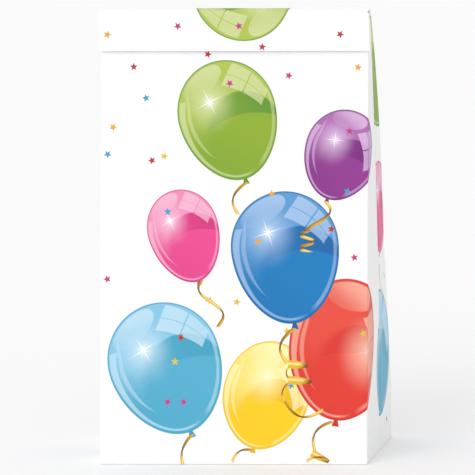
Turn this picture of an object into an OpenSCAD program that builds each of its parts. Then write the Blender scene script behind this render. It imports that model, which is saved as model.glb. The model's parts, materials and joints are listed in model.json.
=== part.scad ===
// Block-bottom paper gift bag, standing, with its mouth pinched shut and folded over to the front.
// Every flat panel between two creases is a part of its own, as it lies when the bag stands.
// X is the bag's width, +Y points to the back, +Z is up, and the origin is under the middle of the base.

/* [Bag] */
// Width of the front and back panels
bag_w = 130; // [100:5:180]
// Depth of the block bottom
bag_d = 80; // [60:2:90]
// Height of the front panel, along the paper, from the table to the fold
panel_h = 216; // [180:1:300]
// Thickness of the paper
paper_t = 0.15; // [0.12:0.01:0.2]

/* [Closing fold] */
// Height of the folded-over strip at the mouth
flap_h = 17.5; // [12:0.5:40]
// How far the outer layer of the strip stands out past the panel at each side
flap_spread = 0.7; // [0:0.1:2]
// Thickness of the pinched mouth, over all its layers
pinch_t = 3; // [2.6:0.1:5]
// Gap between the fold line and the front panel
fold_gap = 0.2; // [0.15:0.05:0.4]

/* [Block bottom] */
// How far each base flap reaches under the bag
base_flap = 50; // [42:1:55]
// Width of the glued lap down the tube's back corner
lap_w = 12; // [8:1:20]
// Thickness of a dried film of paste
paste_t = 0.05; // [0.03:0.01:0.08]

/* [Hidden] */

half_w = bag_w / 2;
half_d = bag_d / 2;
half_pinch = pinch_t / 2;

// The panels lean in from the base to the pinched mouth.
lean_run = half_d - half_pinch;
fold_z = sqrt(panel_h * panel_h - lean_run * lean_run);
lean = atan(lean_run / fold_z);
// Thickness of a leaning panel, measured level.
level_t = paper_t / cos(lean);

// The closing fold turns about this line, just in front of the front panel's top edge.
fold_y = -half_pinch - fold_gap * cos(lean);
// Turn that lays the upright strip down along the front panel.
fold_turn = 180 - lean;
// Distances from the fold line to the inner face of each layer of paper.
front_layer = fold_gap;
back_layer = fold_gap + pinch_t - paper_t;
mid_layer = fold_gap + half_pinch;

// The spare width of each gusset is tucked in along the bag's middle plane.
tuck_gap = 0.3;
tuck_depth = half_d - half_pinch;
tuck_front_layer = mid_layer - tuck_gap - paper_t;
tuck_back_layer = mid_layer + tuck_gap;
crease_w = 0.4;

// Layers of the base, from the table up, and their clearance to the walls.
wall_gap = 0.1;
base_front_z = paper_t + paste_t;
base_web_z = base_front_z + paper_t;
base_side_z = base_web_z + paper_t;
base_x = half_w - paper_t - wall_gap;
base_y = half_d - level_t - wall_gap - base_side_z * tan(lean);

lip_start = 0.2;
gusset_lip_start = 0.8;
lip_clear = 0.3;
round_fn = 96;

paper_white = [0.97, 0.97, 0.98];
paper_inside = [0.93, 0.92, 0.9];
paste_colour = [0.9, 0.86, 0.74];

// An upright plate in a YZ profile, from x_low to x_high.
module yz_plate(profile, x_low, x_high) {
    translate([x_low, 0, 0])
        rotate([90, 0, 90])
            linear_extrude(x_high - x_low) polygon(profile);
}

// An upright plate in an XZ profile, from y_low to y_high.
module xz_plate(profile, y_low, y_high) {
    translate([0, y_high, 0])
        rotate([90, 0, 0])
            linear_extrude(y_high - y_low) polygon(profile);
}

// A level plate in an XY profile.
module level_plate(profile, z_low, thickness = paper_t) {
    translate([0, 0, z_low])
        linear_extrude(thickness) polygon(profile);
}

module to_left() {
    mirror([1, 0, 0]) children();
}

module to_back() {
    mirror([0, 1, 0]) children();
}

// The upright strip's frame, laid down along the front panel.
module folded() {
    translate([0, fold_y, fold_z])
        rotate([fold_turn, 0, 0])
            children();
}

// ---- walls ----

// Leaning wall at the front. The back wall is its mirror image.
module leaning_panel() {
    yz_plate([
        [-half_d, 0], [-half_d + level_t, 0],
        [-half_pinch + level_t, fold_z], [-half_pinch, fold_z]
    ], -half_w, half_w);
}

module front_panel() {
    color(paper_white) leaning_panel();
}

module back_panel() {
    color(paper_white) to_back() leaning_panel();
}

// The half of a side gusset that shows, from the front wall to the tuck.
module gusset_half() {
    yz_plate([
        [-half_d + level_t, 0], [-tuck_gap, 0],
        [-tuck_gap, fold_z], [-half_pinch + level_t, fold_z]
    ], half_w - paper_t, half_w);
}

module right_gusset_front() {
    color(paper_white) gusset_half();
}

module right_gusset_back() {
    color(paper_white) to_back() gusset_half();
}

module left_gusset_front() {
    color(paper_white) to_left() gusset_half();
}

module left_gusset_back() {
    color(paper_white) to_left() to_back() gusset_half();
}

// The spare part of a gusset half, folded in behind the side: nothing at the table, widest at the mouth.
module tuck_half() {
    edge = half_w - paper_t;
    xz_plate([
        [edge, 0], [edge, fold_z], [edge - tuck_depth, fold_z]
    ], -tuck_gap - paper_t, -tuck_gap);
}

// The gusset's centre crease, which joins the two halves of the tuck at their inner edge.
module centre_crease() {
    edge = half_w - paper_t;
    foot = crease_w * fold_z / tuck_depth;
    xz_plate([
        [edge, 0], [edge, foot],
        [edge - tuck_depth + crease_w, fold_z], [edge - tuck_depth, fold_z]
    ], -tuck_gap, tuck_gap);
}

module back_tuck() {
    union() {
        to_back() tuck_half();
        centre_crease();
    }
}

module right_tuck_front() {
    color(paper_inside) tuck_half();
}

module right_tuck_back() {
    color(paper_inside) back_tuck();
}

module left_tuck_front() {
    color(paper_inside) to_left() tuck_half();
}

module left_tuck_back() {
    color(paper_inside) to_left() back_tuck();
}

// ---- the tube's glued seam, inside the back panel at its left edge ----

// A leaning strip inside the back panel, from inset to inset + thickness.
module back_strip(x_low, x_high, inset, thickness, z_low, z_high) {
    outer = function (z) half_d - z * tan(lean) - level_t - inset;
    yz_plate([
        [outer(z_low), z_low], [outer(z_low) - thickness, z_low],
        [outer(z_high) - thickness, z_high], [outer(z_high), z_high]
    ], x_low, x_high);
}

seam_foot = 1;
seam_edge = -half_w + paper_t;
seam_margin = 2;

module seam_paste() {
    color(paste_colour)
        back_strip(seam_edge + seam_margin, seam_edge + lap_w - seam_margin, 0, paste_t, 5, fold_z - 5);
}

module seam_lap() {
    color(paper_inside)
        back_strip(seam_edge, seam_edge + lap_w, paste_t, level_t, seam_foot, fold_z);
}

// ---- block bottom ----

// A base flap seen from above, narrowing at 45 degrees from the back edge.
function flap_outline(depth) = [
    [-base_x, base_y], [base_x, base_y],
    [base_x - depth, base_y - depth], [-base_x + depth, base_y - depth]
];

module base_back_flap() {
    color(paper_white) level_plate(flap_outline(base_flap), 0);
}

module base_front_flap() {
    color(paper_white) to_back() level_plate(flap_outline(base_flap), base_front_z);
}

// The paste between the two base flaps, where they overlap.
module base_paste() {
    reach = base_flap - base_y - 1;
    narrow = base_x - base_flap;
    color(paste_colour) level_plate([
        [-narrow, -reach], [narrow, -reach], [narrow, reach], [-narrow, reach]
    ], paper_t, paste_t);
}

// The end of a gusset, folded in flat over the base.
module side_flap() {
    level_plate([
        [base_x, -base_y], [base_x, base_y],
        [base_x - base_flap, base_y], [base_x - base_flap, -base_y]
    ], base_side_z);
}

module base_side_flap_right() {
    color(paper_inside) side_flap();
}

module base_side_flap_left() {
    color(paper_inside) to_left() side_flap();
}

// The corner between a side flap and the front flap, folded under at 45 degrees.
module web() {
    level_plate([
        [base_x, -base_y], [base_x - base_y, 0],
        [base_x - base_flap, 0], [base_x - base_flap, -base_y]
    ], base_web_z);
}

module base_web_front_right() {
    color(paper_inside) web();
}

module base_web_front_left() {
    color(paper_inside) to_left() web();
}

module base_web_back_right() {
    color(paper_inside) to_back() web();
}

module base_web_back_left() {
    color(paper_inside) to_left() to_back() web();
}

// ---- closing fold ----

// The bend of one layer of paper over the top, round the fold line.
module bend(inner_r, x_low, x_high) {
    translate([0, fold_y, fold_z])
        rotate([90, 0, 90])
            rotate_extrude(angle = fold_turn, $fn = round_fn)
                translate([inner_r, x_low]) square([paper_t, x_high - x_low]);
}

module inner_crease() {
    color(paper_white) bend(front_layer, -half_w, half_w);
}

module outer_crease() {
    color(paper_white) bend(back_layer, -half_w, half_w);
}

module gusset_creases() {
    edge = half_w - lip_clear;
    inner = edge - tuck_depth;
    color(paper_inside)
        for (layer = [tuck_front_layer, tuck_back_layer]) {
            bend(layer, inner, edge);
            bend(layer, -edge, -inner);
        }
}

// A layer of the strip that runs across its whole width.
module lip(layer, width) {
    folded()
        translate([-width / 2, layer, lip_start])
            cube([width, paper_t, flap_h - lip_start]);
}

module front_lip() {
    color(paper_white) lip(front_layer, bag_w);
}

module back_lip() {
    color(paper_white) lip(back_layer, bag_w + 2 * flap_spread);
}

// A gusset layer of the strip: it starts beside a lip at the bag's edge and ends at the centre crease.
module gusset_lip(at_edge, at_centre) {
    edge = half_w - lip_clear;
    inner = edge - tuck_depth;
    folded()
        translate([0, 0, gusset_lip_start])
            linear_extrude(flap_h - gusset_lip_start)
                polygon([
                    [edge, at_edge], [edge, at_edge + paper_t],
                    [inner, at_centre + paper_t], [inner, at_centre]
                ]);
}

module gusset_lip_front() {
    gusset_lip(front_layer + paper_t + lip_clear, mid_layer - lip_clear / 2 - paper_t);
}

module gusset_lip_back() {
    gusset_lip(back_layer - lip_clear - paper_t, mid_layer + lip_clear / 2);
}

module gusset_lip_front_right() {
    color(paper_inside) gusset_lip_front();
}

module gusset_lip_front_left() {
    color(paper_inside) to_left() gusset_lip_front();
}

module gusset_lip_back_right() {
    color(paper_inside) gusset_lip_back();
}

module gusset_lip_back_left() {
    color(paper_inside) to_left() gusset_lip_back();
}

front_panel();
back_panel();
right_gusset_front();
right_gusset_back();
left_gusset_front();
left_gusset_back();
right_tuck_front();
right_tuck_back();
left_tuck_front();
left_tuck_back();
seam_lap();
seam_paste();
base_back_flap();
base_front_flap();
base_paste();
base_side_flap_right();
base_side_flap_left();
base_web_front_right();
base_web_front_left();
base_web_back_right();
base_web_back_left();
inner_crease();
gusset_creases();
outer_crease();
front_lip();
back_lip();
gusset_lip_front_right();
gusset_lip_front_left();
gusset_lip_back_right();
gusset_lip_back_left();
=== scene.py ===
"""The looks of a block-bottom paper gift bag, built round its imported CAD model.

The bag is one paper tube. Here it is one grid of points, with columns round the tube and rows up the paper:
round the bottom edge, up the walls, over the closing fold and down the folded strip. Each visible sheet is a
patch of that grid, so neighbouring sheets share their edges. Every point also knows its place on the flat
paper, and the print is drawn there by shader nodes: u runs round the tube from the middle of the front panel,
v runs up the paper from the table, and both are in millimetres.
"""

import json
import math

import bpy
import numpy as np
from mathutils import Matrix, Vector


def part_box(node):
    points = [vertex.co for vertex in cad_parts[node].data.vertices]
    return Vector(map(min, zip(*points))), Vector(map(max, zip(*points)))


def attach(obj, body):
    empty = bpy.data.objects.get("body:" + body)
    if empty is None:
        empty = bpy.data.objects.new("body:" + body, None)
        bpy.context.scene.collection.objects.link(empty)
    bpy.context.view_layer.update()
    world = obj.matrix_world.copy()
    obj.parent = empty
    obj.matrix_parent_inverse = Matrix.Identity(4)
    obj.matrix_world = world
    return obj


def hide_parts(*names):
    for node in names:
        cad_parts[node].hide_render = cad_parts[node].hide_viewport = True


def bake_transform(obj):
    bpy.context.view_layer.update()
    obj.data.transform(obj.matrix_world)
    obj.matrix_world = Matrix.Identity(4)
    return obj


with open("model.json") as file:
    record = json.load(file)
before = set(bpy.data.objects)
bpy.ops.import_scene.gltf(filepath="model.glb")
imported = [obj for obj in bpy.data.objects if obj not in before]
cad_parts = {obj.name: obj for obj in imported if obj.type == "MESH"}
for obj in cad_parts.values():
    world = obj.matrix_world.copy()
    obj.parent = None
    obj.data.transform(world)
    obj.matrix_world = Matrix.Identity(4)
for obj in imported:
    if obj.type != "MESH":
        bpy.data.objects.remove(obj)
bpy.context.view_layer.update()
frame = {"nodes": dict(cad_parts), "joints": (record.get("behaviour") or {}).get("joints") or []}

MM = 0.001

# ---- sizes, from the frame ----

panel_low, panel_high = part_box("front_panel")
HALF_W = panel_high.x
HALF_D = -panel_low.y
FOLD_Z = panel_high.z
HALF_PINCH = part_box("outer_crease")[1].y
LEAN = math.atan2(HALF_D - HALF_PINCH, FOLD_Z)
PANEL_H = FOLD_Z / math.cos(LEAN)
FOLD_TURN = math.pi - LEAN
PIVOT = Vector(next(j["pos_m"] for j in frame["joints"] if j["name"] == "closure_fold"))
FLAP_H = (PIVOT.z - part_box("front_lip")[0].z) / math.cos(LEAN)
FLAP_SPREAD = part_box("back_lip")[1].x - HALF_W

PAPER = 0.15 * MM
SLIT = 0.3 * MM
LAP = 12 * MM
LAP_INSET = 0.3 * MM
CREASE_R = 0.4 * MM
CURL_R = 0.5 * MM

# ---- the tube's grid ----

STRAIGHTS = [6, 12, 10, 2, 10, 12, 64, 12, 10, 2, 10, 12, 64]
ARC_STEPS = 4
CURL_ROWS, WALL_ROWS, FOLD_ROWS, STRIP_ROWS = 4, 84, 18, 12
# The outer layer's bend over the fold is made in this many parts.
BEND_PARTS = 3
# On the flat paper, in millimetres: the front panel's right edge, and the middle of the back panel
FRONT_EDGE_U = 65
BACK_MIDDLE_U = 210


def column_of(corner):
    """The grid column at the middle of a corner of the section."""
    return sum(STRAIGHTS[:corner]) + ARC_STEPS * (corner - 1) + ARC_STEPS // 2


SEAM, FRONT_LEFT, FRONT_RIGHT, BACK_RIGHT = (column_of(k) for k in (1, 6, 7, 12))
LEFT_CENTRE = column_of(3) + ARC_STEPS // 2 + STRAIGHTS[3] // 2
RIGHT_CENTRE = column_of(9) + ARC_STEPS // 2 + STRAIGHTS[9] // 2
# The strip is pressed thinner towards its cut edge: by this share, towards this layer
STRIP_PRESS = 0.6
STRIP_CORE = 0.5 * MM
LAST_COLUMN = sum(STRAIGHTS) + ARC_STEPS * (len(STRAIGHTS) - 1)
WALL_TOP = CURL_ROWS + WALL_ROWS
FOLD_END = WALL_TOP + FOLD_ROWS
MOUTH = FOLD_END + STRIP_ROWS


def smooth(x):
    x = min(1.0, max(0.0, x))
    return x * x * (3 - 2 * x)


def section(half_y, inset, slit, puff, spread):
    """The tube's cut at one height: x, y and u of every column, from the seam lap round to the back's left edge.

    half_y is half the depth there, inset how far the front and back are drawn in, slit half the gap between a
    gusset's two layers, puff how far the sides' middle line stands out, and spread the back's extra half width.
    """
    w, wf, wb = HALF_W + puff, HALF_W - inset, HALF_W + spread - inset
    tuck = max(HALF_D - half_y, 0.02 * MM)
    y = half_y - inset
    depth = 2 * HALF_D
    corners = [
        (-wb + LAP, y - LAP_INSET, -HALF_W - depth - LAP),
        (-wb, y - LAP_INSET, -HALF_W - depth),
        (-w, slit, -HALF_W - HALF_D - tuck),
        (-w + tuck, slit, -HALF_W - HALF_D),
        (-w + tuck, -slit, -HALF_W - HALF_D),
        (-w, -slit, -HALF_W - HALF_D + tuck),
        (-wf, -y, -HALF_W),
        (wf, -y, HALF_W),
        (w, -slit, HALF_W + HALF_D - tuck),
        (w - tuck, -slit, HALF_W + HALF_D),
        (w - tuck, slit, HALF_W + HALF_D),
        (w, slit, HALF_W + HALF_D + tuck),
        (wb, y, HALF_W + depth),
        (-wb, y, 3 * HALF_W + depth),
    ]
    c = np.array(corners)
    steps = np.linalg.norm(np.diff(c[:, :2], axis=0), axis=1)
    points = []
    start = c[0]
    for k, count in enumerate(STRAIGHTS):
        last = k == len(STRAIGHTS) - 1
        radius = 0 if last else min(CREASE_R, 0.45 * steps[k], 0.45 * steps[k + 1])
        along = (c[k + 1] - c[k]) / steps[k]
        end = c[k + 1] - along * radius
        points += [start + (end - start) * i / count for i in range(count)]
        if last:
            points.append(end)
            break
        onward = (c[k + 2] - c[k + 1]) / steps[k + 1]
        for i in range(ARC_STEPS):
            a = math.pi / 2 * i / ARC_STEPS
            points.append(
                c[k + 1]
                - along * radius * (1 - math.sin(a))
                + onward * radius * (1 - math.cos(a))
            )
        start = c[k + 1] + onward * radius
    return np.array(points)


def tube_grid():
    """Points (rows, columns, 3) of the whole paper tube, and their flat (u, v), both in metres."""
    points, flat = [], []

    def add(row, y, z, v):
        points.append(np.stack([row[:, 0], y, z + 0 * y], 1))
        flat.append(np.stack([row[:, 2], v + 0 * y], 1))

    for i in range(CURL_ROWS):
        a = math.pi / 2 * i / CURL_ROWS
        row = section(HALF_D, CURL_R * (1 - math.sin(a)), SLIT, 0, 0)
        z = CURL_R * (1 - math.cos(a))
        add(row, row[:, 1], z, z - CURL_R / 2)
    for i in range(WALL_ROWS + 1):
        v = CURL_R + (PANEL_H - CURL_R) * i / WALL_ROWS
        share = v / PANEL_H
        half_y = HALF_D - (HALF_D - HALF_PINCH) * share
        slit = SLIT + 0.35 * MM * math.sin(math.pi * share) ** 2
        puff = (0.8 * smooth(share / 0.3) + 0.9 * math.sin(math.pi * share) * smooth(share / 0.15)) * MM
        low_flare = 0.8 * smooth(share / 0.15) * (1 - share)
        high_flare = 1.2 * smooth((share - 0.4) / 0.35) * (1 - share**10)
        spread = FLAP_SPREAD * smooth(share / 0.35) + (low_flare + high_flare) * MM
        row = section(half_y, 0, slit, puff, spread)
        add(row, row[:, 1], v * math.cos(LEAN), v)
    top = section(HALF_PINCH, 0, SLIT, 0.8 * MM, FLAP_SPREAD)
    layer = top[:, 1] - PIVOT.y
    for i in range(1, FOLD_ROWS + 1):
        a = FOLD_TURN * i / FOLD_ROWS
        add(top, PIVOT.y + layer * math.cos(a), PIVOT.z + layer * math.sin(a), PANEL_H + layer * a)
    down = Vector((0, -math.sin(FOLD_TURN), math.cos(FOLD_TURN)))
    for i in range(1, STRIP_ROWS + 1):
        share = i / STRIP_ROWS
        h = FLAP_H * share
        pressed = STRIP_PRESS * (1 - (1 - share) ** 4 * (1 + 4 * share))
        off = layer + (STRIP_CORE - layer) * pressed
        y = PIVOT.y + off * math.cos(FOLD_TURN) + h * down.y
        z = PIVOT.z + off * math.sin(FOLD_TURN) + h * down.z
        add(top, y, z, PANEL_H + layer * FOLD_TURN + h)
    return np.array(points), np.array(flat)


def outward(grid):
    """Unit normals of the grid, pointing out of the bag."""
    along = np.gradient(grid, axis=1)
    up = np.gradient(grid, axis=0)
    n = np.cross(along, up)
    return n / np.maximum(np.linalg.norm(n, axis=2, keepdims=True), 1e-12)


def relax(grid, flat):
    """Lets the flat walls bow and ripple by fractions of a millimetre. Every crease stays where it is."""
    u, v = flat[..., 0] / MM, flat[..., 1] / MM
    rows = np.clip(v / 30, 0, 1) * np.clip((PANEL_H / MM - v) / 25, 0, 1)
    front = np.clip(1 - (np.abs(u) / FRONT_EDGE_U) ** 4, 0, 1)
    back = np.clip(1 - (np.abs(u - BACK_MIDDLE_U) / FRONT_EDGE_U) ** 4, 0, 1)
    ripple = np.sin(u / 31 + v / 47) + 0.6 * np.sin(u / 17 - v / 29 + 1.3) + 0.4 * np.sin(v / 13 + u / 53)
    amount = (front + back) * rows * (0.3 + 0.13 * ripple)
    lip = np.clip((v - PANEL_H / MM - 12) / 20, 0, 1) * back
    amount = amount + lip * (0.2 + 0.18 * np.sin(u / 14))
    return grid + outward(grid) * (amount * MM)[..., None]


grid, flat = tube_grid()
grid = relax(grid, flat)

# ---- shader nodes ----


class Nodes:
    """Adds nodes to a tree in the order they are needed, and wires numbers or sockets to them alike."""

    def __init__(self, tree):
        self.tree = tree

    def add(self, kind, **settings):
        node = self.tree.nodes.new(kind)
        for name, value in settings.items():
            setattr(node, name, value)
        return node

    def feed(self, socket, value):
        if isinstance(value, bpy.types.NodeSocket):
            self.tree.links.new(value, socket)
        elif value is not None:
            socket.default_value = value

    def math(self, operation, *values):
        node = self.add("ShaderNodeMath", operation=operation)
        for socket, value in zip(node.inputs, values):
            self.feed(socket, value)
        return node.outputs[0]

    def plus(self, a, b):
        return self.math("ADD", a, b)

    def minus(self, a, b):
        return self.math("SUBTRACT", a, b)

    def times(self, a, b):
        return self.math("MULTIPLY", a, b)

    def over(self, a, b):
        return self.math("DIVIDE", a, b)

    def length(self, a, b):
        return self.math("SQRT", self.plus(self.times(a, a), self.times(b, b)))

    def step(self, value, low, high):
        """0 at low, 1 at high and smooth between them. low may be above high."""
        node = self.add("ShaderNodeMapRange", interpolation_type="SMOOTHSTEP", clamp=False)
        for name, given in (("Value", value), ("From Min", low), ("From Max", high)):
            self.feed(node.inputs[name], given)
        return node.outputs[0]

    def band(self, value, half, soft):
        """1 where |value| is under half."""
        return self.step(self.math("ABSOLUTE", value), self.plus(half, soft), self.minus(half, soft))

    def turned(self, x, y, angle):
        """(x, y) seen from axes turned by angle radians."""
        c, s = self.math("COSINE", angle), self.math("SINE", angle)
        return (
            self.plus(self.times(x, c), self.times(y, s)),
            self.minus(self.times(y, c), self.times(x, s)),
        )

    def mix(self, share, under, over):
        node = self.add("ShaderNodeMix", data_type="RGBA")
        self.feed(node.inputs["Factor"], share)
        self.feed(node.inputs[6], under)
        self.feed(node.inputs[7], over)
        return node.outputs[2]

    def noise(self, vector, scale, detail=2.0, rough=0.5):
        node = self.add("ShaderNodeTexNoise")
        self.feed(node.inputs["Vector"], vector)
        self.feed(node.inputs["Scale"], scale)
        self.feed(node.inputs["Detail"], detail)
        self.feed(node.inputs["Roughness"], rough)
        return node.outputs["Fac"]


def new_group(name, floats, colours, outputs):
    """An empty node group with those float and colour inputs, and its Nodes, inputs and output node."""
    tree = bpy.data.node_groups.new(name, "ShaderNodeTree")
    for label in floats:
        tree.interface.new_socket(label, in_out="INPUT", socket_type="NodeSocketFloat")
    for label in colours:
        tree.interface.new_socket(label, in_out="INPUT", socket_type="NodeSocketColor")
    for label in outputs:
        tree.interface.new_socket(label, in_out="OUTPUT", socket_type="NodeSocketColor")
    inputs = tree.nodes.new("NodeGroupInput").outputs
    return tree, Nodes(tree), inputs


def end_group(n, colour):
    out = n.add("NodeGroupOutput")
    n.feed(out.inputs[0], colour)


def star_group():
    """A five-pointed star over the colour under it."""
    floats = ["u", "v", "at u", "at v", "size", "turn"]
    tree, n, i = new_group("star", floats, ["under", "colour"], ["colour"])
    x = n.over(n.minus(i["u"], i["at u"]), i["size"])
    y = n.over(n.minus(i["v"], i["at v"]), i["size"])
    angle = n.plus(n.math("ARCTAN2", y, x), n.plus(i["turn"], 4 * math.pi))
    folded = n.math("PINGPONG", angle, math.pi / 5)
    r = n.length(x, y)
    # The straight edge from a tip at radius 1 to the inner corner at radius 0.45.
    tip, inner = Vector((1, 0)), Vector((math.cos(math.pi / 5), math.sin(math.pi / 5))) * 0.45
    edge = tip - inner
    normal = Vector((-edge.y, edge.x)).normalized()
    reach = n.plus(
        n.times(n.times(r, n.math("COSINE", folded)), normal.x),
        n.times(n.times(r, n.math("SINE", folded)), normal.y),
    )
    inside = n.step(reach, normal.dot(tip) + 0.06, normal.dot(tip) - 0.06)
    end_group(n, n.mix(inside, i["under"], i["colour"]))
    return tree


def ribbon_group():
    """A gold ribbon over the colour under it. It winds down the paper from (at u, at v), or turned from that."""
    floats = ["u", "v", "at u", "at v", "turn", "length", "swing", "wave", "start", "drift", "width"]
    tree, n, i = new_group("ribbon", floats, ["under"], ["colour"])
    aside, up = n.turned(n.minus(i["u"], i["at u"]), n.minus(i["v"], i["at v"]), i["turn"])
    down = n.times(up, -1.0)
    share = n.over(down, i["length"])
    phase = n.plus(n.times(n.over(down, i["wave"]), 2 * math.pi), i["start"])
    grown = n.times(i["swing"], n.step(share, -0.25, 0.15))
    middle = n.plus(n.times(i["drift"], down), n.times(grown, n.math("SINE", phase)))
    turning = n.math("COSINE", phase)
    slope = n.plus(i["drift"], n.times(n.over(n.times(grown, turning), i["wave"]), 2 * math.pi))
    slant = n.math("SQRT", n.plus(n.times(slope, slope), 1.0))
    across = n.over(n.minus(aside, middle), slant)
    narrowed = n.times(i["width"], n.plus(n.times(n.math("ABSOLUTE", turning), 0.5), 0.4))
    on = n.times(
        n.band(across, narrowed, 0.12),
        n.times(n.step(share, -0.01, 0.01), n.step(share, 1.01, 0.99)),
    )
    facing = n.plus(n.math("ABSOLUTE", turning), n.times(turning, 0.35))
    shade = n.step(n.plus(facing, n.times(n.over(across, i["width"]), 0.3)), 0.0, 1.1)
    gold = n.mix(shade, (0.17, 0.065, 0.008, 1), (0.78, 0.46, 0.03, 1))
    glint = n.band(n.minus(n.over(across, i["width"]), 0.15), 0.2, 0.25)
    gold = n.mix(n.times(glint, n.step(facing, 0.5, 1.2)), gold, (0.95, 0.84, 0.36, 1))
    end_group(n, n.mix(on, i["under"], gold))
    return tree


def balloon_group():
    """A shiny balloon and its knot, over the colour under it. x and y are shares of its half width and height."""
    floats = ["u", "v", "at u", "at v", "radius", "up", "down", "lean", "sparkle x", "sparkle y", "spin", "glint"]
    tree, n, i = new_group("balloon", floats, ["under", "pale", "light", "full", "deep"], ["colour"])
    across, along = n.turned(n.minus(i["u"], i["at u"]), n.minus(i["v"], i["at v"]), n.times(i["lean"], -1.0))
    x = n.over(across, i["radius"])
    y = n.plus(
        n.over(n.math("MAXIMUM", along, 0.0), i["up"]),
        n.over(n.math("MINIMUM", along, 0.0), i["down"]),
    )
    low = n.math("MINIMUM", n.times(n.math("MINIMUM", y, 0.0), -1.0), 1.0)
    rim = n.length(n.over(x, n.minus(1.0, n.times(n.times(low, low), 0.08))), y)
    inside = n.step(rim, 1.006, 0.994)

    # Knot: a small flared skirt under the tip.
    under_tip = n.minus(n.times(along, -1.0), i["down"])
    flare = n.plus(n.times(under_tip, 0.3), n.times(i["radius"], 0.035))
    knot = n.times(
        n.step(n.minus(n.math("ABSOLUTE", across), flare), 0.15, -0.1),
        n.times(n.step(under_tip, -1.2, -0.8), n.step(n.over(under_tip, i["radius"]), 0.115, 0.1)),
    )
    colour = n.mix(knot, i["under"], i["deep"])

    # Skin: light above, full below, and between them a deeper arch, the far side showing through.
    blur = n.plus(n.times(n.step(x, 0.2, -0.5), 0.12), 0.02)
    from_arch = n.length(n.over(n.minus(x, 0.28), 0.85), n.over(n.plus(y, 0.75), 1.08))
    arch = n.step(from_arch, n.plus(blur, 1.0), n.minus(1.0, blur))
    under_arch = n.step(n.length(n.minus(x, 0.2), n.plus(y, 2.0)), 1.93, 1.91)
    upper = n.times(n.minus(1.0, arch), n.step(y, -0.55, 0.15))
    skin = n.mix(upper, i["full"], i["light"])
    wedge = n.times(
        n.times(arch, n.minus(1.0, under_arch)),
        n.plus(n.times(n.step(x, -0.3, 0.8), 0.45), 0.35),
    )
    skin = n.mix(wedge, skin, i["deep"])
    skin = n.mix(n.times(n.step(n.plus(n.times(x, 0.75), y), 0.1, -1.3), 0.25), skin, i["deep"])
    # Glow round the sparkle.
    sparkle_x, sparkle_y = n.turned(n.minus(x, i["sparkle x"]), n.minus(y, i["sparkle y"]), 0.2)
    from_sparkle = n.length(sparkle_x, sparkle_y)
    skin = n.mix(n.times(n.step(from_sparkle, 0.6, 0.0), 0.8), skin, i["pale"])
    core = n.times(n.times(n.step(from_sparkle, 0.2, 0.0), 0.35), i["glint"])
    skin = n.mix(core, skin, (1, 1, 1, 1))
    # Lens of light under the crown.
    spun_x, spun_y = n.turned(x, y, n.times(i["spin"], -1.0))
    lens_x, lens_y = n.turned(n.plus(spun_x, 0.32), n.minus(spun_y, 0.68), 0.42)
    lens = n.length(n.over(lens_x, 0.47), n.over(lens_y, 0.22))
    lit = n.plus(n.times(n.step(n.plus(n.times(lens_x, 0.5), lens_y), -0.3, 0.25), 0.6), 0.15)
    skin = n.mix(n.times(n.times(n.step(lens, 1.02, 0.96), lit), n.step(rim, 0.965, 0.945)), skin, i["pale"])
    # The reflection of a window: two by two panes that bow with the skin, broader at the crown.
    pane_x, pane_y = n.turned(spun_x, spun_y, -0.75)
    to_end, to_rim = n.minus(pane_x, 0.2), n.plus(pane_x, 0.05)
    sill = n.minus(0.5, n.times(n.times(to_end, to_end), 0.3))
    head = n.minus(0.93, n.times(n.times(to_rim, to_rim), 0.5))
    pane_u = n.over(n.minus(pane_x, 0.11), 0.44)
    pane_v = n.minus(n.times(n.over(n.minus(pane_y, sill), n.minus(head, sill)), 2.0), 1.0)
    panes = n.times(n.band(pane_u, 1.0, 0.02), n.band(pane_v, 1.0, 0.03))
    bars = n.times(
        n.step(n.math("ABSOLUTE", pane_u), 0.015, 0.045),
        n.step(n.math("ABSOLUTE", pane_v), 0.015, 0.05),
    )
    glass = n.plus(n.times(n.step(pane_u, 1.0, -1.0), 0.12), 0.62)
    skin = n.mix(n.times(n.times(panes, bars), glass), skin, i["pale"])
    # Light along the rim: a broad band and a crescent on the left, a narrow band on the right.
    inner = n.plus(n.times(n.step(y, 0.2, -1.0), 0.09), 0.83)
    broad = n.times(
        n.times(n.step(rim, inner, n.plus(inner, 0.02)), n.step(rim, 0.965, 0.95)),
        n.times(n.step(x, 0.3, 0.0), n.step(y, 0.42, 0.4)),
    )
    crescent = n.band(
        n.minus(n.minus(rim, 0.765), n.times(n.step(y, 0.2, 0.75), 0.14)),
        n.minus(0.04, n.times(n.times(y, y), 0.11)),
        0.01,
    )
    crescent = n.times(n.times(crescent, n.step(x, -0.2, -0.3)), 0.7)
    narrow = n.times(
        n.times(n.step(rim, 0.895, 0.905), n.step(rim, 0.965, 0.95)),
        n.times(n.step(x, 0.3, 0.5), n.step(y, 0.3, 0.2)),
    )
    skin = n.mix(n.plus(n.times(n.plus(broad, crescent), 0.6), n.times(narrow, 0.4)), skin, i["pale"])
    # Rays of the sparkle, four long and four short.
    slant_x, slant_y = n.turned(sparkle_x, sparkle_y, math.pi / 4)
    rays = None
    for a, b, reach in (
        (sparkle_x, sparkle_y, 0.42),
        (sparkle_y, sparkle_x, 0.40),
        (slant_x, slant_y, 0.18),
        (slant_y, slant_x, 0.18),
    ):
        near = n.step(n.math("ABSOLUTE", a), reach, 0.0)
        ray = n.times(near, n.step(n.math("ABSOLUTE", b), n.times(near, 0.02), 0.0))
        rays = ray if rays is None else n.math("MAXIMUM", rays, ray)
    skin = n.mix(n.times(rays, i["glint"]), skin, (1, 1, 1, 1))
    skin = n.mix(n.times(n.step(rim, 0.965, 0.985), 0.75), skin, i["deep"])
    end_group(n, n.mix(inside, colour, skin))
    return tree


STAR, RIBBON, BALLOON = star_group(), ribbon_group(), balloon_group()

# ---- the print, in millimetres on the flat paper ----

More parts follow.
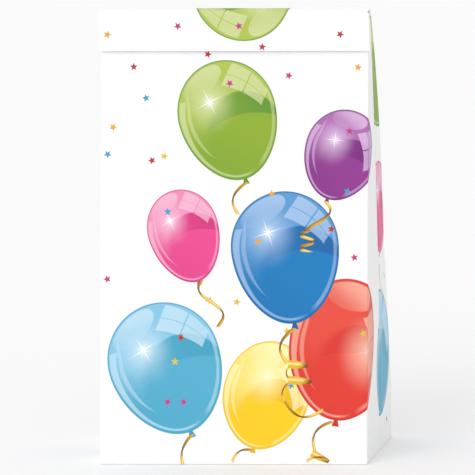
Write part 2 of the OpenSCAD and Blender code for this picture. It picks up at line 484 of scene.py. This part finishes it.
COLOURS = {  # pale, light, full, deep
    "green": ((0.66, 0.72, 0.38), (0.42, 0.53, 0.09), (0.27, 0.41, 0.035), (0.10, 0.28, 0.04)),
    "purple": ((0.72, 0.52, 0.76), (0.42, 0.15, 0.42), (0.28, 0.045, 0.27), (0.17, 0.02, 0.19)),
    "pink": ((0.88, 0.52, 0.68), (0.84, 0.27, 0.46), (0.80, 0.075, 0.28), (0.60, 0.035, 0.19)),
    "blue": ((0.42, 0.58, 0.82), (0.11, 0.32, 0.62), (0.012, 0.20, 0.50), (0.015, 0.12, 0.34)),
    "sky": ((0.56, 0.76, 0.88), (0.24, 0.55, 0.75), (0.09, 0.41, 0.60), (0.05, 0.34, 0.50)),
    "yellow": ((1.0, 0.90, 0.50), (0.97, 0.76, 0.20), (0.95, 0.60, 0.014), (0.80, 0.47, 0.01)),
    "red": ((0.92, 0.50, 0.38), (0.78, 0.08, 0.055), (0.76, 0.05, 0.035), (0.58, 0.032, 0.027)),
}
STAR_COLOURS = {
    "orange": (0.78, 0.38, 0.05),
    "rose": (0.56, 0.05, 0.22),
    "scarlet": (0.48, 0.045, 0.04),
    "azure": (0.07, 0.33, 0.58),
    "gold": (0.75, 0.50, 0.06),
    "violet": (0.30, 0.10, 0.45),
}
PLAIN_SHINE = (-0.28, 0.28, 0, 1)
# Drawn in this order, so a later one covers an earlier one: colour, u, v, radius, up, down, lean in degrees.
# Where its shine isn't the plain one, that follows: the sparkle's x and y, the turn of the lens and window in
# degrees, and the sparkle's strength.
BALLOONS = [
    ("green", -3.7, 169, 23.9, 25.3, 33.2, -16),
    ("purple", 53, 151, 18.5, 19.5, 24.8, 18, -0.29, 0.17, 20, 0.9),
    ("pink", -24.9, 113.2, 17.3, 19, 26.5, -17),
    ("sky", -34, 50.4, 27.4, 27.5, 37.1, -21),
    ("yellow", 16, 34, 21, 25.5, 27, 13, -0.06, 0.33, 12, 0.3),
    ("red", 53.5, 57, 26.5, 32.3, 36, 6, 0.44, -0.05, 30, 0.2),
    ("blue", 24.7, 104.9, 26.2, 26.3, 37.5, -7.5),
    ("green", 140, 189.5, 24, 26, 30.5, -11),
    ("pink", 133, 121.5, 18.5, 21.5, 25, 17, -0.28, 0.28, -25, 1),
    ("sky", 117, 52, 27, 28, 36, 18),
    ("green", 206, 213, 23.9, 25.3, 33.2, -16),
    ("purple", 261, 194, 18.5, 19.5, 24.8, 18),
    ("pink", 184, 157, 17.3, 19, 26.5, -17),
    ("sky", 176, 94, 27.4, 27.5, 37.1, -21),
    ("yellow", 225, 80, 21, 25.5, 27, 13),
    ("red", 258, 106, 22, 26, 33, 6),
    ("blue", 236, 146, 26.2, 26.3, 37.5, -7.5),
    ("purple", 186, 28, 20, 22, 28, 12),
    ("green", 238, 14, 23.9, 25.3, 33.2, -8),
    ("red", -100, 163, 20, 24, 30, -6),
    ("yellow", -84, 104, 17, 20, 25, 10),
    ("purple", -124, 118, 19, 22, 27, -12),
    ("blue", -97, 46, 24, 27, 34, 8),
    ("pink", -140, 60, 17, 19, 27, 14),
]
# u, v, turn in degrees, length, swing, wave, start, drift, width
RIBBONS = [
    (6, 135.6, 0, 15.5, 4.5, 31, 3.14, -0.25, 0.9),
    (44.4, 126.4, 0, 14.8, 4.3, 21, 0.0, -0.4, 1.0),
    (35.5, 112, 0, 10, 2.4, 6.5, 3.14, 0.0, 1.1),
    (-15.5, 88.6, 0, 22.5, 3.6, 21, 3.14, 0.42, 0.9),
    (29.4, 65.5, 0, 17, 5.2, 34, 3.14, -0.18, 1.0),
    (27.6, 47.6, 0, 7, -1.9, 14, 0.0, 0.0, 0.6),
    (27.2, 39.6, 0, 9.4, 2.4, 19, 3.14, -0.22, 0.6),
    (26.6, 48.2, 86, 9.4, 0.0, 31, -0.35, 0.0, 2.2),
    (26.6, 40.6, 86, 11.4, 0.0, 37, -0.35, 0.0, 2.2),
    (24.9, 30.6, 76, 19, 5.4, 38, 3.14, 0.0, 0.9),
    (-20, 14.6, 0, 15.5, 2.6, 31, 3.14, -0.28, 0.9),
    (9.4, 7.0, -60, 11.5, 2.6, 23, 3.14, 0.0, 0.8),
    (48, 20.8, -26, 18, 5.0, 36, 3.14, 0.0, 0.9),
    (38.0, 5.6, 64, 9.4, 0.0, 31, -0.35, 0.0, 2.0),
    (46, 2.4, -86, 10.5, 1.6, 21, 3.14, 0.0, 0.8),
    (124, 92, 0, 18, 3.0, 30, 3.3, 0.25, 0.9),
    (145, 149, 0, 22, 2.5, 16, 0.0, 0.05, 0.9),
    (215, 179, 0, 15.5, 4.5, 31, 3.14, -0.25, 0.9),
    (193, 131, 0, 22.5, 3.6, 21, 3.14, 0.42, 0.9),
    (241, 108, 0, 50, 4.0, 12, 0.4, -0.05, 1.1),
    (190, 58, 0, 22, 2.5, 16, 3.4, -0.1, 0.9),
    (219, 53, 0, 20, 2.5, 14, 0.0, 0.1, 0.9),
    (254, 72, 0, 26, 3.2, 12, 0.0, -0.1, 1.0),
    (-97, 132, 0, 24, 3.0, 12, 0.0, -0.1, 1.0),
    (-88, 78, 0, 20, 2.5, 18, 0.0, 0.1, 0.9),
    (-102, 11, 0, 12, 2.0, 10, 0.0, 0.1, 0.9),
]
# colour, u, v
STARS = [
    ("scarlet", -13, 197), ("scarlet", -49, 191), ("scarlet", -40, 146), ("scarlet", -25.6, 61),
    ("scarlet", 47.3, 113), ("azure", -43, 176), ("azure", -61.6, 149), ("azure", 55, 131),
    ("azure", -32.2, 121.4), ("azure", 28, 38), ("orange", -59, 162), ("orange", 60, 190.6),
    ("orange", 18.4, 130), ("orange", 11.7, 107), ("gold", -34, 148),
    ("gold", -28.5, 49.4), ("gold", 63, 63), ("gold", -12, 79), ("gold", 1.5, 78), ("gold", 26, 64),
    ("rose", -2.3, 183), ("rose", 26.4, 186.7), ("rose", 56, 160), ("rose", -61.6, 89), ("rose", -32, 30),
    ("rose", -24.2, 30), ("rose", 58.5, 99.4),
    ("orange", 139, 84), ("rose", 84, 140), ("azure", 92, 60), ("gold", 98, 26), ("scarlet", 130, 12),
    ("scarlet", 144, 224), ("scarlet", 159, 235), ("scarlet", 196.4, 241), ("rose", 207.6, 231),
    ("rose", 237, 231),
    ("orange", 271, 235), ("azure", 160, 204), ("rose", 176, 196), ("orange", 234, 201), ("azure", 270, 166),
    ("scarlet", 160, 132), ("gold", 206, 124), ("rose", 212, 62), ("azure", 152, 44), ("orange", 264, 50),
    ("violet", 206, 16), ("scarlet", 158, 10), ("gold", 216, 108), ("azure", 268, 140), ("orange", 155, 166),
    ("azure", -75, 190), ("rose", -80, 60), ("gold", -76, 20), ("orange", -135, 160), ("azure", -120, 20),
    ("rose", -132, 200), ("scarlet", -90, 200), ("orange", -110, 88), ("gold", -138, 96), ("rose", -68, 140),
    ("rose", -48, -12), ("azure", -8, -20), ("orange", 31, -9), ("gold", 52, -24), ("scarlet", -30, -26),
    ("azure", 160, -14), ("gold", 184, -37), ("rose", 206, -21), ("orange", 232, -40), ("scarlet", 256, -18),
]
STAR_SIZE = 2.0
# Each star is turned by this angle from the one before it.
STAR_TURN = 0.9
# How far a balloon reaches with its knot, as a share of its height below the middle
KNOT_REACH = 1.15
# How far a ribbon may reach past its length, in millimetres
RIBBON_SPARE = 4


def linear(colour):
    return (*colour, 1.0)


def place(n, group, u, v, floats, colours):
    """Puts one instance of a print group over the colours given, and returns its colour."""
    node = n.add("ShaderNodeGroup", node_tree=group)
    for socket, value in zip(node.inputs, [u, v, *floats, *colours]):
        n.feed(socket, value)
    return node.outputs[0]


def draw_print(n, u, v, paper, span):
    """The printed colour at (u, v). span is (u low, u high, v low, v high), and only what reaches it is drawn."""
    u_low, u_high, v_low, v_high = span

    def shows(at_u, at_v, reach):
        return u_low - reach < at_u < u_high + reach and v_low - reach < at_v < v_high + reach

    colour = paper
    for tint, at_u, at_v, radius, up, down, lean, *own_shine in BALLOONS:
        if shows(at_u, at_v, down * KNOT_REACH):
            shine_x, shine_y, spin, glint = own_shine or PLAIN_SHINE
            shine = (shine_x, shine_y, math.radians(spin), glint)
            floats = (at_u, at_v, radius, up, down, math.radians(lean), *shine)
            colour = place(n, BALLOON, u, v, floats, (colour, *map(linear, COLOURS[tint])))
    for k, (tint, at_u, at_v) in enumerate(STARS):
        if shows(at_u, at_v, STAR_SIZE):
            floats = (at_u, at_v, STAR_SIZE, STAR_TURN * k)
            colour = place(n, STAR, u, v, floats, (colour, linear(STAR_COLOURS[tint])))
    for at_u, at_v, turn, length, *shape in RIBBONS:
        if shows(at_u, at_v, length + RIBBON_SPARE):
            colour = place(n, RIBBON, u, v, (at_u, at_v, math.radians(turn), length, *shape), (colour,))
    return colour


# ---- materials ----


def new_material(name):
    material = bpy.data.materials.new(name)
    material.use_nodes = True
    material.node_tree.nodes.clear()
    return material, Nodes(material.node_tree)


def paper_surface(n, place_mm, colour, roughness, fibre, coat):
    """A paper skin: mottled roughness, fine fibres and soft cockling as bump, and a little coating gloss."""
    fibres = n.noise(place_mm, 2.6, 4.0, 0.65)
    cockle = n.noise(place_mm, 0.06, 2.0, 0.5)
    height = n.plus(n.times(fibres, fibre), n.times(cockle, 0.5))
    bump = n.add("ShaderNodeBump")
    bump.inputs["Strength"].default_value = 0.25
    bump.inputs["Distance"].default_value = 0.12 * MM
    n.feed(bump.inputs["Height"], height)
    shader = n.add("ShaderNodeBsdfPrincipled")
    n.feed(shader.inputs["Base Color"], colour)
    n.feed(shader.inputs["Roughness"], n.plus(roughness - 0.08, n.times(fibres, 0.16)))
    n.feed(shader.inputs["Normal"], bump.outputs[0])
    shader.inputs["Specular IOR Level"].default_value = 0.15
    shader.inputs["Coat Weight"].default_value = coat
    shader.inputs["Coat Roughness"].default_value = 0.3
    out = n.add("ShaderNodeOutputMaterial")
    n.tree.links.new(shader.outputs[0], out.inputs[0])


def flat_place(n):
    """(u, v) in millimetres and the same as a vector, from the sheet's own flat map."""
    node = n.add("ShaderNodeUVMap", uv_map="flat")
    scaled = n.add("ShaderNodeVectorMath", operation="SCALE")
    n.feed(scaled.inputs[0], node.outputs[0])
    scaled.inputs["Scale"].default_value = 1 / MM
    split = n.add("ShaderNodeSeparateXYZ")
    n.feed(split.inputs[0], scaled.outputs[0])
    return split.outputs[0], split.outputs[1], scaled.outputs[0]


def paper_white(n, place_mm, pale, dull):
    """The bare paper's colour, with a faint cloudiness."""
    cloud = n.noise(place_mm, 0.35, 3.0, 0.6)
    return n.mix(n.step(cloud, 0.35, 0.7), linear(pale), linear(dull))


def printed_paper(name, span):
    """White coated paper with the print over the stretch of flat paper that span covers."""
    material, n = new_material(name)
    u, v, place_mm = flat_place(n)
    paper = paper_white(n, place_mm, (0.93, 0.93, 0.935), (0.91, 0.912, 0.92))
    colour = draw_print(n, u, v, paper, span)
    paper_surface(n, place_mm, colour, 0.42, 0.5, 0.04)
    return material


def plain_paper():
    """The uncoated inner side."""
    material, n = new_material("plain_paper")
    place_mm = flat_place(n)[2]
    paper = paper_white(n, place_mm, (0.86, 0.85, 0.83), (0.80, 0.79, 0.765))
    fleck = n.step(n.noise(place_mm, 1.8, 2.0, 0.7), 0.72, 0.8)
    paper = n.mix(n.times(fleck, 0.25), paper, (0.55, 0.5, 0.42, 1))
    paper_surface(n, place_mm, paper, 0.75, 1.0, 0.0)
    return material


def cut_edge():
    """The paper's cut edge."""
    material, n = new_material("cut_edge")
    place_mm = flat_place(n)[2]
    paper = paper_white(n, place_mm, (0.84, 0.83, 0.81), (0.74, 0.73, 0.70))
    paper_surface(n, place_mm, paper, 0.85, 1.0, 0.0)
    return material


INSIDE, EDGE = plain_paper(), cut_edge()


def node_place(n):
    """x and y on a CAD node in millimetres, and its place as a vector."""
    scaled = n.add("ShaderNodeVectorMath", operation="SCALE")
    n.feed(scaled.inputs[0], n.add("ShaderNodeTexCoord").outputs["Object"])
    scaled.inputs["Scale"].default_value = 1 / MM
    split = n.add("ShaderNodeSeparateXYZ")
    n.feed(split.inputs[0], scaled.outputs[0])
    return split.outputs[0], split.outputs[1], scaled.outputs[0]


def base_print(name, u_sign, u_middle, v_sign, span):
    """A flap of the base: printed below, where the outside of the paper faces the table, and plain above."""
    material, n = new_material(name)
    x, y, place_mm = node_place(n)
    u = n.plus(n.times(x, u_sign), u_middle)
    v = n.minus(n.times(y, v_sign), HALF_D / MM)
    paper = paper_white(n, place_mm, (0.93, 0.93, 0.935), (0.88, 0.882, 0.89))
    colour = draw_print(n, u, v, paper, span)
    split = n.add("ShaderNodeSeparateXYZ")
    n.feed(split.inputs[0], n.add("ShaderNodeNewGeometry").outputs["Normal"])
    colour = n.mix(n.step(split.outputs[2], -0.3, 0.1), colour, (0.83, 0.82, 0.80, 1))
    paper_surface(n, place_mm, colour, 0.45, 0.6, 0.04)
    return material


def base_layer(name, below):
    """A folded layer inside the base, with the colour below on its lower face and painted shade along its
    diagonal fold lines above.
    """
    material, n = new_material(name)
    x, y, place_mm = node_place(n)
    split = n.add("ShaderNodeSeparateXYZ")
    n.feed(split.inputs[0], n.add("ShaderNodeNewGeometry").outputs["Normal"])
    plain = paper_white(n, place_mm, (0.86, 0.85, 0.83), (0.78, 0.77, 0.745))
    paper = n.mix(n.step(split.outputs[2], -0.3, 0.1), linear(below), plain)
    # Painted shade: a faint darker line along the diagonal folds stands in for the shade in the creases.
    line = n.band(n.minus(n.math("ABSOLUTE", x), n.math("ABSOLUTE", y)), 0.1, 0.25)
    paper_surface(n, place_mm, n.mix(n.times(line, 0.2), paper, (0.6, 0.58, 0.54, 1)), 0.75, 1.0, 0.0)
    return material


def dried_paste():
    """A thin brushed film of starch paste, dried slightly yellow and glossy."""
    material, n = new_material("dried_paste")
    x, y, place_mm = node_place(n)
    streaks = n.noise(place_mm, 0.9, 4.0, 0.7)
    colour = n.mix(n.step(streaks, 0.3, 0.7), (0.80, 0.76, 0.62, 1), (0.66, 0.60, 0.44, 1))
    paper_surface(n, place_mm, colour, 0.35, 1.4, 0.3)
    return material


SIDE_FLAP = base_layer("base_side_paper", (0.90, 0.902, 0.91))
WEB = base_layer("base_web_paper", (0.84, 0.83, 0.81))
PASTE = dried_paste()
UNDER_FRONT = base_print("base_front_print", 1, 0, -1, (-FRONT_EDGE_U, FRONT_EDGE_U, -50, 0))
BACK_SPAN = (BACK_MIDDLE_U - FRONT_EDGE_U, BACK_MIDDLE_U + FRONT_EDGE_U, -55, 0)
UNDER_BACK = base_print("base_back_print", -1, BACK_MIDDLE_U, 1, BACK_SPAN)
for name, node in frame["nodes"].items():
    if name.startswith("base_") or name == "seam_paste":
        coat = WEB
        if name.endswith("paste"):
            coat = PASTE
        elif "side" in name:
            coat = SIDE_FLAP
        elif name == "base_front_flap":
            coat = UNDER_FRONT
        elif name == "base_back_flap":
            coat = UNDER_BACK
        node.data.materials.clear()
        node.data.materials.append(coat)

# ---- sheets ----


def span_of(rows, columns):
    """The flat paper that a patch of the grid covers: u low, u high, v low and v high, in millimetres."""
    place_on_paper = flat[rows[0] : rows[1] + 1, columns[0] : columns[1] + 1] / MM
    low, high = place_on_paper.min((0, 1)), place_on_paper.max((0, 1))
    return low[0], high[0], low[1], high[1]


def sheet_mesh(name, rows, columns):
    """A patch of the grid as a mesh, with its flat map and with its cut edges marked sharp."""
    patch = grid[rows[0] : rows[1] + 1, columns[0] : columns[1] + 1]
    place_on_paper = flat[rows[0] : rows[1] + 1, columns[0] : columns[1] + 1].reshape(-1, 2)
    high, wide = patch.shape[:2]
    faces = [
        (r * wide + c, r * wide + c + 1, (r + 1) * wide + c + 1, (r + 1) * wide + c)
        for r in range(high - 1)
        for c in range(wide - 1)
    ]
    mesh = bpy.data.meshes.new(name)
    mesh.from_pydata([tuple(p) for p in patch.reshape(-1, 3)], [], faces)
    corners = np.array([loop.vertex_index for loop in mesh.loops])
    layer = mesh.uv_layers.new(name="flat")
    layer.data.foreach_set("uv", place_on_paper[corners].astype(np.float32).ravel())
    mesh.polygons.foreach_set("use_smooth", [True] * len(faces))
    uses = np.bincount([loop.edge_index for loop in mesh.loops], minlength=len(mesh.edges))
    mesh.attributes.new("sharp_edge", "BOOLEAN", "EDGE").data.foreach_set("value", uses == 1)
    return mesh


def sheet(name, rows, columns, body, node_names, side=None):
    """One sheet of the tube, with the paper's thickness, attached to a body, or left fixed where it stands when
    body is not a body's name.

    side is its outer side's material, or None for a print of its own. Its inner side is plain.
    """
    mesh = sheet_mesh(name, rows, columns)
    mesh.materials.append(side or printed_paper(name + "_print", span_of(rows, columns)))
    mesh.materials.append(INSIDE)
    mesh.materials.append(EDGE)
    piece = bpy.data.objects.new(name, mesh)
    bpy.context.scene.collection.objects.link(piece)
    thick = piece.modifiers.new("thickness", "SOLIDIFY")
    thick.thickness = PAPER
    thick.offset = -1
    thick.material_offset = 1
    thick.material_offset_rim = 2
    if isinstance(body, str):
        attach(piece, body)
    else:
        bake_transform(piece)
    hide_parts(*node_names)


def round_fold(radius, part=0, parts=1):
    """The blend of a layer of paper that goes round the closing fold at this distance from the fold line.

    It is the blend of the whole layer, or of one of its equal parts, which keep the turn more even along it.
    """

    def on_layer(share):
        a = FOLD_TURN * share
        return PIVOT + Vector((0, radius * math.cos(a), radius * math.sin(a)))

    def along_blend(share):
        """Where a blend has turned by this share of its turn."""
        return 0.5 - math.sin(math.asin(1 - 2 * share) / 3)

    first, last = part / parts, (part + 1) / parts
    low, high = along_blend(first), along_blend(last)
    whole = (on_layer(last) - on_layer(first)) / (high - low)
    start = on_layer(first) - whole * low
    return ("bag", "flap", start, start + whole)


def layer_at(y):
    """Distance from the fold line of the layer that meets it at that y."""
    return y - PIVOT.y


def across_strip():
    """The blend of the strip's side folds, from its front layer to its outer layer."""
    start = PIVOT + Vector((0, layer_at(-HALF_PINCH) * math.cos(FOLD_TURN), 0))
    end = PIVOT + Vector((0, layer_at(HALF_PINCH) * math.cos(FOLD_TURN), 0))
    return ("flap", "outer_lip", start, end)


WALL, OVER, STRIP = (0, WALL_TOP), (WALL_TOP, FOLD_END), (FOLD_END, MOUTH)
FRONT, BACK, LAP_COLUMNS = (FRONT_LEFT, FRONT_RIGHT), (BACK_RIGHT, LAST_COLUMN), (0, SEAM)

sheet("front_wall", WALL, FRONT, "bag", ["front_panel"])
sheet("back_wall", WALL, BACK, "bag", ["back_panel"])
sheet("seam_overlap", WALL, LAP_COLUMNS, "bag", ["seam_lap"], INSIDE)
for hand, centre, front_corner, back_corner in (
    ("left", LEFT_CENTRE, FRONT_LEFT, SEAM),
    ("right", RIGHT_CENTRE, FRONT_RIGHT, BACK_RIGHT),
):
    for half, corner, y in (("front", front_corner, -SLIT), ("back", back_corner, SLIT)):
        radius = layer_at(y)
        columns = (min(centre, corner), max(centre, corner))
        names = [f"{hand}_gusset_{half}", f"{hand}_tuck_{half}"]
        sheet(f"{hand}_gusset_{half}_half", WALL, columns, "bag", names)
        sheet(f"{hand}_gusset_{half}_bend", OVER, columns, round_fold(radius), ["gusset_creases"])
        sheet(f"{hand}_gusset_{half}_end", STRIP, columns, across_strip(), [f"gusset_lip_{half}_{hand}"])
sheet("inner_bend", OVER, FRONT, round_fold(layer_at(-HALF_PINCH)), ["inner_crease"])
outer_print = printed_paper("outer_bend_print", span_of(OVER, BACK))
for part in range(BEND_PARTS):
    rows = (WALL_TOP + FOLD_ROWS * part // BEND_PARTS, WALL_TOP + FOLD_ROWS * (part + 1) // BEND_PARTS)
    turn = round_fold(layer_at(HALF_PINCH), part, BEND_PARTS)
    sheet(f"outer_bend_{part + 1}", rows, BACK, turn, ["outer_crease"], side=outer_print)
    sheet(f"seam_bend_{part + 1}", rows, LAP_COLUMNS, turn, ["outer_crease"], INSIDE)
sheet("front_end", STRIP, FRONT, "flap", ["front_lip"])
sheet("back_end", STRIP, BACK, "outer_lip", ["back_lip"])
sheet("seam_end", STRIP, LAP_COLUMNS, "outer_lip", ["back_lip"], INSIDE)

# ---- floor, light and camera ----


def stage_floor():
    """A plain pale floor, a hair under the bag."""
    material, n = new_material("floor")
    where = n.add("ShaderNodeNewGeometry").outputs["Position"]
    tint = n.mix(n.noise(where, 3.0), (0.93, 0.93, 0.93, 1), (0.95, 0.95, 0.95, 1))
    shader = n.add("ShaderNodeBsdfPrincipled")
    n.feed(shader.inputs["Base Color"], tint)
    shader.inputs["Roughness"].default_value = 0.9
    shader.inputs["Specular IOR Level"].default_value = 0.1
    out = n.add("ShaderNodeOutputMaterial")
    n.tree.links.new(shader.outputs[0], out.inputs[0])
    size = 12.0
    corners = [(-size, -size, 0), (size, -size, 0), (size, size, 0), (-size, size, 0)]
    mesh = bpy.data.meshes.new("floor")
    mesh.from_pydata(corners, [], [(0, 1, 2, 3)])
    mesh.materials.append(material)
    floor = bpy.data.objects.new("floor", mesh)
    floor.location.z = -0.05 * MM
    bpy.context.scene.collection.objects.link(floor)


def soft_sun(name, azimuth, elevation, strength, spread):
    """A far, wide light. Azimuth 0 stands behind the camera and 90 to the right of the bag, in degrees."""
    data = bpy.data.lights.new(name, "SUN")
    data.energy = strength
    data.angle = math.radians(spread)
    light = bpy.data.objects.new(name, data)
    a, e = math.radians(azimuth), math.radians(elevation)
    toward_light = Vector((math.sin(a) * math.cos(e), -math.cos(a) * math.cos(e), math.sin(e)))
    light.rotation_euler = toward_light.to_track_quat("Z", "Y").to_euler()
    bpy.context.scene.collection.objects.link(light)


def studio_world(low_light, high_light):
    """A white studio round the bag, brighter along the horizon than overhead, and dimmer on its right."""
    world = bpy.data.worlds.new("studio")
    world.use_nodes = True
    n = Nodes(world.node_tree)
    split = n.add("ShaderNodeSeparateXYZ")
    n.feed(split.inputs[0], n.add("ShaderNodeTexCoord").outputs["Generated"])
    strength = n.plus(n.times(n.step(split.outputs[2], 0.1, 0.9), high_light - low_light), low_light)
    strength = n.times(strength, n.minus(1.0, n.times(n.step(split.outputs[0], 0.0, 1.0), 0.35)))
    n.feed(world.node_tree.nodes["Background"].inputs["Strength"], strength)
    world.node_tree.nodes["Background"].inputs["Color"].default_value = (1, 1, 1, 1)
    bpy.context.scene.world = world


stage_floor()
soft_sun("key", -22, 32, 0.55, 40)
studio_world(1.11, 0.96)
bpy.context.scene.view_settings.view_transform = "Standard"

# The camera is far off. It faces the front panel nearly square on, so its up is nearly the panel's, and it is
# turned a little to the bag's right.
CAMERA_TURN = math.radians(9.1)
CAMERA_PITCH = LEAN - math.radians(1.2)
CAMERA_AWAY = 10.0
VIEW_WIDTH = 0.228
# The camera aims at this height up the front panel, and this far to the right of its middle.
AIM_UP = 109 * MM
AIM_ASIDE = 1.7 * MM
camera_front = Vector((0, -math.cos(CAMERA_PITCH), math.sin(CAMERA_PITCH)))
camera_up = Vector((0, math.sin(CAMERA_PITCH), math.cos(CAMERA_PITCH)))
toward = Vector((math.sin(CAMERA_TURN), 0, 0)) + camera_front * math.cos(CAMERA_TURN)
aim_at = Vector((AIM_ASIDE, -HALF_D, 0)) + Vector((0, math.sin(LEAN), math.cos(LEAN))) * AIM_UP
camera = bpy.data.objects.new("camera", bpy.data.cameras.new("camera"))
camera_right = camera_up.cross(toward)
camera_axes = Matrix((camera_right, camera_up, toward)).transposed().to_4x4()
camera.matrix_world = Matrix.Translation(aim_at + toward * CAMERA_AWAY) @ camera_axes
camera.data.lens = camera.data.sensor_width * CAMERA_AWAY / VIEW_WIDTH
bpy.context.scene.collection.objects.link(camera)
bpy.context.scene.camera = camera
